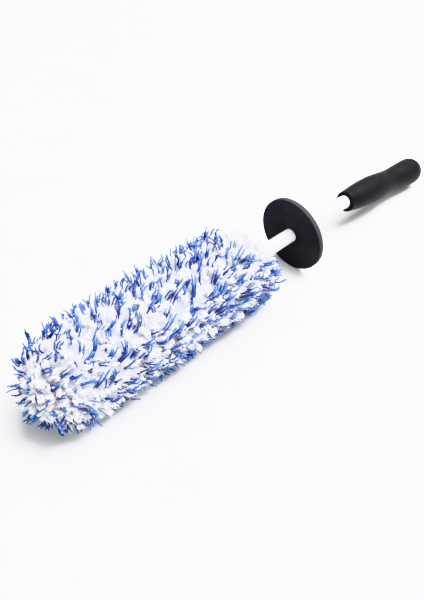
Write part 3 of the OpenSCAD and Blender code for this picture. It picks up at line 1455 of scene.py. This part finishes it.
@dataclass
class HeadCover:
    """The pull-off cover: white pile, blue filaments, backing, seams and the drawn-in neck.

    Attributes:
        at: The brush's main places.
        strands: The tree that grows the pile, the filaments and the stitches.
        white_depth_mm: How far the ends of the white pile lie inside the head's outside.
        white_row_mm: Distance between the tufts of white pile.
        tufts_per_piece: Most tufts in one piece of the white pile.
        neck_share: Share of the neck's outline before the neck's own pile.
        blue_past_mm: How far the filaments reach past the head's outside.
        blue_row_mm: Distance between rows of filaments.
        blue_along_mm: Distance between filaments round a row.
        floor_mm: Height that no pile goes below.
    """

    at: Stations
    strands: StrandTree
    white_depth_mm: float = 2.6
    white_row_mm: float = 6.2
    tufts_per_piece: int = 185
    neck_share: float = 0.6
    blue_past_mm: float = 3.0
    blue_row_mm: float = 10.0
    blue_along_mm: float = 11.2
    floor_mm: float = 0.3

    def build(self) -> list[bpy.types.Object]:
        """Builds and dresses every piece of the cover.

        Returns:
            The new pieces.
        """
        pile = PileFibre().build()
        pieces = [
            UnderPile(self.at, self.floor_mm).build(pile),
            *self.white_tufts(pile),
            *self.blue_strands(BlueFilament().build()),
            *CoverCloth(self.at, self.strands).build(),
        ]
        for piece in pieces:
            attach(piece, Body.COVER.value)
        return pieces

    def white_tufts(self, finish: bpy.types.Material) -> list[bpy.types.Object]:
        """The white pile, in pieces along the head: blunt locks with fine fuzz round them.

        Args:
            finish: The pile's finish.

        Returns:
            The new pieces.
        """
        outline = HeadOutline(self.at, self.at.head_r - self.white_depth_mm)
        plan = TuftPlan(
            outline,
            row_mm=self.white_row_mm,
            along_row_mm=self.white_row_mm,
            jitter_mm=1.3,
            height_mm=1.4,
            lean_mm=2.5,
            lean_spread_mm=2.5,
            bow_mm=0.8,
            tone=0.07,
            sunk=0.3,
            seed=11,
        )
        locks = StrandStyle(
            strands=6,
            points=6,
            sides=6,
            thickness=3.5,
            taper=0.5,
            root_spread=1.7,
            end_spread=2.0,
            stray=0.8,
            shortest=0.84,
            floor=self.floor_mm,
            seed=21,
        )
        fuzz = StrandStyle(
            strands=24,
            points=5,
            sides=3,
            thickness=0.45,
            taper=0.5,
            root_spread=2.4,
            end_spread=3.4,
            stray=2.0,
            shortest=0.85,
            floor=self.floor_mm,
            seed=22,
        )
        neck_start = outline.tip_arc_len + outline.side_len + outline.neck_arc_len * self.neck_share
        side = plan.roots(outline.panel_end, neck_start)
        count = math.ceil(len(side.start) / self.tufts_per_piece)
        share = math.ceil(len(side.start) / count)
        parts = [
            ("tip_tufts", "tip_pile", plan.roots(0.0, outline.panel_end)),
            ("neck_tufts", "neck_pile", plan.roots(neck_start, outline.length)),
        ]
        for number in range(count):
            tufts = side.part(number * share, (number + 1) * share)
            parts.append((f"white_tufts_{number + 1}", "white_pile", tufts))
        return [
            self.strands.grow(StandsFor(f"{name}_{kind}", node, "white_pile"), roots, style, finish)
            for name, node, roots in parts
            for kind, style in (("locks", locks), ("fuzz", fuzz))
        ]

    def blue_strands(self, finish: bpy.types.Material) -> list[bpy.types.Object]:
        """The blue filaments, in rows round the head and on its tip.

        Args:
            finish: The filaments' finish.

        Returns:
            The new pieces.
        """
        outline = HeadOutline(self.at, self.at.head_r + self.blue_past_mm)
        plan = TuftPlan(
            outline,
            row_mm=self.blue_row_mm,
            along_row_mm=self.blue_along_mm,
            jitter_mm=1.8,
            height_mm=1.2,
            lean_mm=8.0,
            lean_spread_mm=3.4,
            bow_mm=1.0,
            tone=0.14,
            sunk=0.55,
            seed=31,
            sparse_neck=True,
            arch_mm=1.6,
            to_top=0.9,
            crowd=1.3,
            crest_mm=2.5,
        )
        style = StrandStyle(
            strands=3,
            points=8,
            sides=5,
            thickness=1.45,
            taper=0.25,
            root_spread=1.6,
            end_spread=2.3,
            stray=3.2,
            shortest=0.72,
            floor=self.floor_mm,
            seed=41,
        )
        return [
            self.strands.grow(StandsFor(name, node, "blue_filament"), plan.roots(start, end), style, finish)
            for name, node, start, end in (
                ("tip_blue_strands", "tip_filaments", 0.0, outline.panel_end),
                ("blue_strands", "blue_filaments", outline.panel_end, outline.length),
            )
        ]


@dataclass
class CoverCloth:
    """The sewn cloth that carries the pile. Lengths are in millimetres.

    Attributes:
        at: The brush's main places.
        strands: The tree that grows the stitches.
        cloth: Thickness of the woven cloth.
        tie_mm: Distance between the rows in which the pile is tied to the cloth.
        tie_depth: How far the cloth is drawn in at a row.
        wear_depth: Depth of its uneven wear.
        wear_lobes: Number of worn places round the sleeve.
        wear_wave: Length along the sleeve over which they turn by one radian.
        pucker: Height of the puckers round the end panel, one at each of its stitches.
        panel_stitches: Number of stitches round the end panel.
        past_core: Distance from the core's neck end to the gathered neck.
        pleats: Number of pleats round the gathered neck.
        pleat_depth: How far a pleat stands out.
        fold_depth: How far the hem's pleats are drawn in.
        hem_len: Length of the hem along the stem.
        hem_turn: Radius of the hem's folded edge.
        hem_layer: Depth from the hem's outside down to which its pleats show.
        hem_slit: Half the width of the slit between the hem's two layers.
        channel_r: Radius of the elastic's channel.
        hem_stitches: Number of stitches round the hem.
        hem_margin: Distance from the hem's edge to its stitches.
        thread: Diameter of the thread.
        thread_bow: How far a stitch stands off the cloth.
        stitch_mm: Length of a stitch.
        stitch_pitch: Distance between the stitches of the side seam.
    """

    at: Stations
    strands: StrandTree
    cloth: float = 1.2
    tie_mm: float = 6.2
    tie_depth: float = 0.25
    wear_depth: float = 0.08
    wear_lobes: int = 7
    wear_wave: float = 9.0
    pucker: float = 0.12
    panel_stitches: int = 24
    past_core: float = 0.5
    pleats: int = 28
    pleat_depth: float = 0.35
    fold_depth: float = 0.15
    hem_len: float = 11.0
    hem_turn: float = 0.7
    hem_layer: float = 0.5
    hem_slit: float = 0.05
    channel_r: float = 0.62
    hem_stitches: int = 10
    hem_margin: float = 2.0
    thread: float = 0.7
    thread_bow: float = 0.25
    stitch_mm: float = 3.0
    stitch_pitch: float = 5.0

    def build(self) -> list[bpy.types.Object]:
        """Returns:
            The new pieces.
        """
        woven, thread = WovenBacking().build(), SewingThread().build()
        sleeve, panel = self.sleeve(), self.end_panel()
        neck, hem = self.gathered_neck(), self.hem_band()
        nodes = ("cover_backing", "tip_panel", "neck_gather", "neck_hem")
        for piece, node in zip((sleeve, panel, neck, hem), nodes):
            dress(piece, woven)
            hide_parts(node)
        seams = [self.side_thread(thread), self.panel_thread(thread), self.hem_thread(thread)]
        repaint("neck_elastic", BraidedElastic().build())
        return [sleeve, panel, neck, hem, *seams]

    @property
    def sleeve_x(self) -> float:
        """Where the sleeve starts, behind the end panel."""
        return self.at.panel_x + self.cloth

    @property
    def gather_x(self) -> float:
        """Where the sleeve ends and the gathered neck starts."""
        return self.at.core_end_x + self.past_core

    @property
    def sleeve_len(self) -> float:
        """Length of the sleeve."""
        return self.gather_x - self.sleeve_x

    @property
    def neck_in_r(self) -> float:
        """Radius of the hole that the gathered neck and the hem leave for the stem."""
        return self.at.stem_r + NECK_GAP_MM

    def sleeve(self) -> bpy.types.Object:
        """The tube of cloth, drawn in a little at each row of tied pile.

        Returns:
            The new object.
        """
        inner, outer = self.at.backing_r - self.cloth, self.at.backing_r

        def place(radius: float, angle: float, station: float) -> Point:
            """A point of the sleeve, drawn in by the ties and by wear on its outside.

            Args:
                radius: Radius of the even cloth.
                angle: Angle round the head.
                station: X station.

            Returns:
                The point in the row frame.
            """
            drawn = 0.5 - 0.5 * math.cos(2 * math.pi * (station - self.sleeve_x) / self.tie_mm)
            worn = self.wear_depth * math.sin(self.wear_lobes * angle + station / self.wear_wave)
            pulled = self.tie_depth * drawn + worn if radius > (inner + outer) / 2 else 0.0
            return self.at.on_axis(radius - max(pulled, 0.0), angle, station)

        steps = round(self.sleeve_len / self.tie_mm * 4)
        stations = evenly(self.sleeve_x, self.sleeve_x + self.sleeve_len, steps)
        profile = [(outer, x) for x in stations] + [(inner, x) for x in reversed(stations)]
        return turned("cover_sleeve", profile, place, closed=True)

    def end_panel(self) -> bpy.types.Object:
        """The round panel over the tip, with a soft edge and a slightly puckered face.

        Returns:
            The new object.
        """
        outer, front, back = self.at.backing_r, self.at.panel_x, self.at.panel_x + self.cloth
        edge = self.cloth / 2
        rings = [(outer - edge) * share for share in (0.2, 0.4, 0.6, 0.8)]

        def place(radius: float, angle: float, station: float) -> Point:
            """A point of the panel; its face is pressed in between the stitches at its edge.

            Args:
                radius: Radius on the panel.
                angle: Angle round it.
                station: X station of the even panel.

            Returns:
                The point in the row frame.
            """
            pucker = self.pucker * math.sin(self.panel_stitches * angle) * (radius / outer) ** 2
            pressed = max(pucker, 0.0) if station < back - NEAR_MM else 0.0
            return self.at.on_axis(radius, angle, station + pressed)

        profile = [
            (0.0, front),
            *[(ring, front) for ring in rings],
            *arc((outer - edge, front + edge), edge, -90, 90, 10),
            *[(ring, back) for ring in reversed(rings)],
            (0.0, back),
        ]
        return turned("cover_end_panel", profile, place, self.panel_stitches * 6)

    def gathered_neck(self) -> bpy.types.Object:
        """The end of the sleeve drawn in round the stem, in pleats.

        Returns:
            The new object.
        """
        inner, outer = self.neck_in_r, self.at.backing_r
        edge = self.cloth / 2
        low, high = self.gather_x, self.gather_x + self.cloth
        radii = evenly(inner, outer - edge, 9)[:-1]

        def place(radius: float, angle: float, station: float) -> Point:
            """A point of the neck; the pleats are deepest half way between the stem and the edge.

            Args:
                radius: Radius on the neck.
                angle: Angle round the stem.
                station: X station without the pleats.

            Returns:
                The point in the row frame.
            """
            share = min(max((radius - inner) / (outer - inner), 0.0), 1.0)
            fold = self.pleat_depth * math.sin(math.pi * share) * math.sin(self.pleats * angle)
            return self.at.on_axis(radius, angle, station + fold)

        profile = [
            *[(r, low) for r in radii],
            *arc((outer - edge, low + edge), edge, -90, 90, 8),
            *[(r, high) for r in reversed(radii)],
        ]
        return turned("cover_gathered_neck", profile, place, self.pleats * 8, closed=True)

    def hem_band(self) -> bpy.types.Object:
        """The hem: the cloth folded back on itself round the elastic's channel.

        Returns:
            The new object.
        """
        inner, outer = self.neck_in_r, self.neck_in_r + HEM_MM
        low = self.gather_x + self.cloth
        high = low + self.hem_len
        middle = ((inner + outer) / 2, (low + high) / 2)
        slit, turn, layer = self.hem_slit, self.hem_turn, outer - self.hem_layer

        def place(radius: float, angle: float, station: float) -> Point:
            """A point of the hem, with the pleats pressed flat on its outside."""
            fold = self.fold_depth * (1 + math.sin(self.pleats * angle)) if radius > layer else 0.0
            return self.at.on_axis(radius - fold, angle, station)

        profile = [
            (middle[0] + slit, low),
            (outer, low),
            *arc((outer - turn, high - turn), turn, 0, 90, 6),
            *arc((inner + turn, high - turn), turn, 90, 180, 6),
            (inner, low),
            (middle[0] - slit, low),
            *arc(middle, self.channel_r, -95, -445, 24),
        ]
        return turned("cover_hem", profile, place, self.pleats * 6, closed=True)

    def side_thread(self, thread: bpy.types.Material) -> bpy.types.Object:
        """The stitches along the underside of the sleeve.

        Args:
            thread: The thread's finish.

        Returns:
            The new object.
        """
        low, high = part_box("side_seam")
        count = round((high.x - low.x) / MM / self.stitch_pitch) + 1
        places = [(-math.pi / 2, low.x / MM + self.stitch_pitch * i) for i in range(count)]
        seam = StandsFor("side_seam_thread", "side_seam", "thread")
        return self._stitches(seam, self.at.backing_r, places, thread)

    def panel_thread(self, thread: bpy.types.Material) -> bpy.types.Object:
        """The stitches round the end panel.

        Args:
            thread: The thread's finish.

        Returns:
            The new object.
        """
        places = self._round(self.panel_stitches, self.at.panel_x)
        seam = StandsFor("tip_seam_thread", "tip_seam", "thread")
        return self._stitches(seam, self.at.backing_r, places, thread)

    def hem_thread(self, thread: bpy.types.Material) -> bpy.types.Object:
        """The stitches that close the hem.

        Args:
            thread: The thread's finish.

        Returns:
            The new object.
        """
        places = self._round(self.hem_stitches, self.gather_x + self.cloth + self.hem_margin)
        seam = StandsFor("hem_thread", "hem_stitches", "thread")
        return self._stitches(seam, self.neck_in_r + HEM_MM, places, thread)

    @staticmethod
    def _round(count: int, station: float) -> list[tuple[float, float]]:
        """Angle and station of a number of stitches spread evenly round the head."""
        return [(2 * math.pi * k / count, station) for k in range(count)]

    def _stitches(
        self, seam: StandsFor, radius: float, places: list[tuple[float, float]], thread: bpy.types.Material
    ) -> bpy.types.Object:
        """Grows stitches that lie along the stem.

        Args:
            seam: The piece's name, CAD node and slot.
            radius: Radius of the cloth under the stitches.
            places: Angle and start station of each stitch.
            thread: The thread's finish.

        Returns:
            The new object.
        """
        roots = StrandRoots()
        for angle, station in places:
            bow = (0.0, self.thread_bow * math.cos(angle), self.thread_bow * math.sin(angle))
            roots.add(self.at.on_axis(radius, angle, station), (self.stitch_mm, 0.0, 0.0), bow, 0.0)
        style = StrandStyle(points=7, sides=8, thickness=self.thread, taper=0.3)
        return self.strands.grow(seam, roots, style, thread)


# ---------------------------------------------------------------------------------------------
# Stem, guard, grip and core
# ---------------------------------------------------------------------------------------------


@dataclass
class StemLine:
    """The stem's centre line: straight, then a crank, then the straight tail.

    Attributes:
        at: The brush's main places.
        straight_mm: Straight stem behind the guard's front face.
        crank_deg: Angle of the crank.
        crank_r: Radius of the crank.
        grip_start: Bare stem between the crank and the grip.
    """

    at: Stations
    straight_mm: float = 52.0
    crank_deg: float = 8.0
    crank_r: float = 150.0
    grip_start: float = 5.0

    @property
    def crank_x(self) -> float:
        """Where the crank starts."""
        return self.at.guard_x + self.straight_mm

    @property
    def crank_len(self) -> float:
        """Length of the crank along the stem's axis."""
        return self.crank_r * math.radians(self.crank_deg)

    def place(self, radius: float, angle: float, run: float) -> Point:
        """A point at a radius and angle round the line.

        Args:
            radius: Distance from the line.
            angle: Angle round the line, 0 towards +Y.
            run: Distance along the line, counted from the start of the crank.

        Returns:
            The point in the row frame.
        """
        bend = min(max(run / self.crank_r, 0.0), math.radians(self.crank_deg))
        past = max(run - self.crank_len, 0.0)
        before = min(run, 0.0)
        x = self.crank_x + before + self.crank_r * math.sin(bend) + past * math.cos(bend)
        z = self.at.axis_z - self.crank_r * (1 - math.cos(bend)) - past * math.sin(bend)
        up = radius * math.sin(angle)
        return (x + up * math.sin(bend), radius * math.cos(angle), z + up * math.cos(bend))


@dataclass
class Stem:
    """The white tube.

    Attributes:
        line: The stem's centre line.
        wall: Wall thickness.
        tail_len: Length of the tail behind the crank.
        step_mm: Distance between its rings, close enough for a smooth crank.
    """

    line: StemLine
    wall: float = 1.6
    tail_len: float = 113.0
    step_mm: float = 3.0

    def build(self) -> bpy.types.Object:
        """Builds the tube as one closed skin, outside and inside.

        Returns:
            The new object.
        """
        at = self.line.at
        start = at.core_x - self.line.crank_x
        end = self.line.crank_len + self.tail_len
        runs = evenly(start, end, round((end - start) / self.step_mm))
        bore = at.stem_r - self.wall
        profile = [(at.stem_r, run) for run in runs] + [(bore, run) for run in reversed(runs)]
        tube = turned("white_stem", profile, self.line.place, 64, closed=True)
        dress(tube, ExtrudedGloss().build())
        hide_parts("stem_tube")
        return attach(tube, Body.STEM.value)


@dataclass
class FoamCore:
    """The foam cylinder on the stem that fills the head, and the plugs in the stem's ends.

    Attributes:
        at: The brush's main places.
        edge: Radius of its rounded edge at the tip.
        chamfer: Chamfer at its neck end.
        dent: Depth of the shallow marks that the cutter leaves.
        lobes: Number of marks round it.
        twist: Length over which the marks turn by one radian.
        wave: Length of a mark along it, for one radian.
        steps: Steps along its side.
    """

    at: Stations
    edge: float = 1.2
    chamfer: float = 3.0
    dent: float = 0.15
    lobes: int = 3
    twist: float = 11.0
    wave: float = 5.0
    steps: int = 40

    def build(self) -> bpy.types.Object:
        """Builds the core as one closed ring and finishes the plugs.

        Returns:
            The core.
        """
        plug = MouldedPlug().build()
        for node in ("tip_plug", "butt_plug"):
            repaint(node, plug)
        low, high, outer = self.at.core_x, self.at.core_end_x, self.at.core_r
        side = evenly(low + self.edge, high - self.chamfer, self.steps)

        def place(radius: float, angle: float, station: float) -> Point:
            """A point of the core, with the cutter's marks on its side.

            Args:
                radius: Radius of the even core.
                angle: Angle round the stem.
                station: X station.

            Returns:
                The point in the row frame.
            """
            mark = math.sin(self.lobes * angle + station / self.twist) * math.sin(station / self.wave)
            cut = self.dent * (1 + mark) / 2 if radius > outer - NEAR_MM else 0.0
            return self.at.on_axis(radius - cut, angle, station)

        profile = [
            (self.at.stem_r, low),
            *arc((outer - self.edge, low + self.edge), self.edge, -90, 0, 6),
            *[(outer, x) for x in side[1:]],
            (outer - self.chamfer, high),
            (self.at.stem_r, high),
        ]
        core = turned("foam_core_block", profile, place, closed=True)
        dress(core, CoreFoam().build())
        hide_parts("foam_core")
        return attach(core, Body.STEM.value)


@dataclass
class Grip:
    """The foam grip: a rounded mouth, two swells with a waist between them, and a domed end.

    Lengths are in millimetres, and stations count from the mouth.

    Attributes:
        line: The stem's centre line.
        length: Length over all.
        mouth_r: Radius at the mouth.
        front_r: Radius of the swell near the mouth.
        waist_r: Radius of the waist.
        rear_r: Radius of the rear swell and of the dome.
        front_share: Place of the front swell as a share of the length.
        waist_share: Place of the waist as a share of the length.
        lip_r: Radius of the mouth's rounded lip.
        bore_len: Depth of the blind bore.
        bore_edge: Chamfer of the bore at the mouth.
        fineness: Steps in each swell.
    """

    line: StemLine
    length: float = 126.5
    mouth_r: float = 10.3
    front_r: float = 13.6
    waist_r: float = 11.95
    rear_r: float = 13.8
    front_share: float = 0.35
    waist_share: float = 0.595
    lip_r: float = 2.0
    bore_len: float = 110.0
    bore_edge: float = 0.6
    fineness: int = 26

    def outside(self) -> Profile:
        """The profile of the grip's outside, from its mouth to the end of its dome.

        Returns:
            Profile points as (radius, station).
        """
        front = self.front_share * self.length
        waist = self.waist_share * self.length
        rear = self.length - self.rear_r
        steps = evenly(0.0, 1.0, self.fineness)[1:]
        lip = arc((self.mouth_r - self.lip_r, self.lip_r), self.lip_r, -90, 0, 8)
        flare = [
            (
                self.mouth_r + (self.front_r - self.mouth_r) * math.sin(t * math.pi / 2),
                self.lip_r + (front - self.lip_r) * t,
            )
            for t in steps
        ]
        first = [(self._wave(self.front_r, self.waist_r, t), front + (waist - front) * t) for t in steps]
        second = [(self._wave(self.waist_r, self.rear_r, t), waist + (rear - waist) * t) for t in steps]
        dome = arc((0.0, rear), self.rear_r, 0, 90, 18)[1:-1]
        return [*lip, *flare, *first, *second, *dome, (0.0, self.length)]

    @staticmethod
    def _wave(start: float, end: float, share: float) -> float:
        """A radius on a half wave between two radii."""
        return start + (end - start) * (1 - math.cos(math.pi * share)) / 2

    def build(self) -> bpy.types.Object:
        """Builds the grip as one closed skin with its blind bore.

        Returns:
            The new object.
        """
        bore, edge = self.line.at.stem_r, self.bore_edge
        inside = [(0.0, self.bore_len), (bore, self.bore_len), (bore, self.lip_r), (bore, edge)]
        shift = self.line.crank_len + self.line.grip_start
        points = [*inside, (bore + edge, 0.0), *self.outside()]
        profile = [(radius, station + shift) for radius, station in points]
        grip = turned("foam_grip", profile, self.line.place, 96)
        dress(grip, FoamSkin().build())
        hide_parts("grip")
        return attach(grip, Body.STEM.value)


@dataclass
class SplashGuard:
    """The foam disc: a true round with softened rims and a hole for the stem.

    Attributes:
        at: The brush's main places.
        rim_r: Radius of its rounded rims.
        hole_gap: Gap between the stem and the hole, which lets the disc slide.
        hole_edge: Chamfer of the hole.
    """

    at: Stations
    rim_r: float = 0.9
    hole_gap: float = 0.05
    hole_edge: float = 0.3

    def build(self) -> bpy.types.Object:
        """Builds the disc as one closed ring.

        Returns:
            The new object.
        """
        at, rim, edge = self.at, self.rim_r, self.hole_edge
        hole = at.stem_r + self.hole_gap
        front, back = at.guard_x, at.guard_back_x
        rings = evenly(hole, at.guard_r - rim, 4)[1:-1]
        profile = [
            (hole, front + edge),
            (hole + edge, front),
            *[(ring, front) for ring in rings],
            *arc((at.guard_r - rim, front + rim), rim, -90, 0, 6),
            *arc((at.guard_r - rim, back - rim), rim, 0, 90, 6),
            *[(ring, back) for ring in reversed(rings)],
            (hole + edge, back),
            (hole, back - edge),
        ]
        disc = turned("guard_disc", profile, at.on_axis, 144, closed=True)
        dress(disc, CutFoam().build())
        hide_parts("splash_guard")
        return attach(disc, Body.GUARD.value)


# ---------------------------------------------------------------------------------------------
# Studio
# ---------------------------------------------------------------------------------------------


@dataclass(frozen=True)
class Softbox:
    """A square area light that faces the brush.

    Attributes:
        name: The light's name.
        place: Where it hangs, in metres.
        size: Its width in metres.
        power: Its power in watts.
        target: The point that it faces, in metres.
    """

    name: str
    place: Point
    size: float
    power: float
    target: Point = (0.0, 0.0, 0.03)

    def build(self) -> None:
        """Hangs the light."""
        light = bpy.data.lights.new(self.name, "AREA")
        light.size = self.size
        light.energy = self.power
        obj = bpy.data.objects.new(self.name, light)
        obj.location = self.place
        ahead = Vector(self.target) - Vector(self.place)
        obj.rotation_euler = ahead.to_track_quat("-Z", "Y").to_euler()
        bpy.context.scene.collection.objects.link(obj)


@dataclass
class Studio:
    """Floor, light and camera.

    Attributes:
        aim_mm: The point that the camera looks at.
        azimuth: Degrees round the brush, 0 looking along +Y.
        elevation: Degrees above the horizon.
        distance_mm: Distance from the aim to the camera.
        lens_mm: Focal length.
        sensor_mm: Width of the sensor.
        floor_m: Width of the floor in metres.
        surround: Colour of the even light from all round.
        surround_strength: Its strength.
        lights: The softbox overhead, the smaller key beside it and the low fill behind the tip.
    """

    aim_mm: Point = (-46.6, 16.5, -5.8)
    azimuth: float = -42.4
    elevation: float = 46.12
    distance_mm: float = 545.2
    lens_mm: float = 36.0
    sensor_mm: float = 36.0
    floor_m: float = 6.0
    surround: str = "#fdfdff"
    surround_strength: float = 0.65
    lights: tuple[Softbox, ...] = (
        Softbox("overhead_softbox", (0.6, -0.1, 1.5), 1.6, 85.0),
        Softbox("key_light", (0.35, -0.4, 1.35), 0.4, 24.0),
        Softbox("low_fill", (-1.1, -0.6, 0.55), 1.0, 4.0),
    )

    def build(self) -> None:
        """Sets up the floor, the lights and the camera."""
        self.floor()
        self.world()
        for light in self.lights:
            light.build()
        self.camera()
        bpy.context.scene.view_settings.view_transform = "Khronos PBR Neutral"

    def floor(self) -> None:
        """A plain pale floor that the brush lies on."""
        half = self.floor_m / MM / 2
        corners = [(-half, -half, 0.0), (half, -half, 0.0), (half, half, 0.0), (-half, half, 0.0)]
        floor = make_object("studio_floor", corners, [[0, 1, 2, 3]])
        floor.data.materials.append(StudioFloor().build())

    def world(self) -> None:
        """A bright even surround, as from the white walls of a small studio."""
        world = bpy.data.worlds.new("studio_surround")
        bpy.context.scene.world = world
        world.use_nodes = True
        background = world.node_tree.nodes["Background"]
        background.inputs["Color"].default_value = srgb(self.surround)
        background.inputs["Strength"].default_value = self.surround_strength

    def camera(self) -> None:
        """The camera, above and in front of the tip."""
        azimuth, elevation = math.radians(self.azimuth), math.radians(self.elevation)
        level = math.cos(elevation)
        back = Vector((math.sin(azimuth) * level, -math.cos(azimuth) * level, math.sin(elevation)))
        data = bpy.data.cameras.new("camera")
        data.lens = self.lens_mm
        data.sensor_width = self.sensor_mm
        obj = bpy.data.objects.new("camera", data)
        obj.location = (Vector(self.aim_mm) + back * self.distance_mm) * MM
        obj.rotation_euler = back.to_track_quat("Z", "Y").to_euler()
        bpy.context.scene.collection.objects.link(obj)
        bpy.context.scene.camera = obj


def main() -> None:
    """Builds the brush's sub-assemblies in order."""
    logging.basicConfig(level=logging.INFO, format="%(name)s: %(message)s")
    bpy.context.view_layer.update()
    Studio().build()
    at = Stations.from_frame()
    line = StemLine(at)
    pieces = [Stem(line).build(), FoamCore(at).build(), Grip(line).build(), SplashGuard(at).build()]
    pieces += HeadCover(at, StrandTree()).build()
    for piece in pieces:
        LOG.info("%s: %d faces", piece.name, len(piece.data.polygons))


if __name__ == "__main__":
    main()
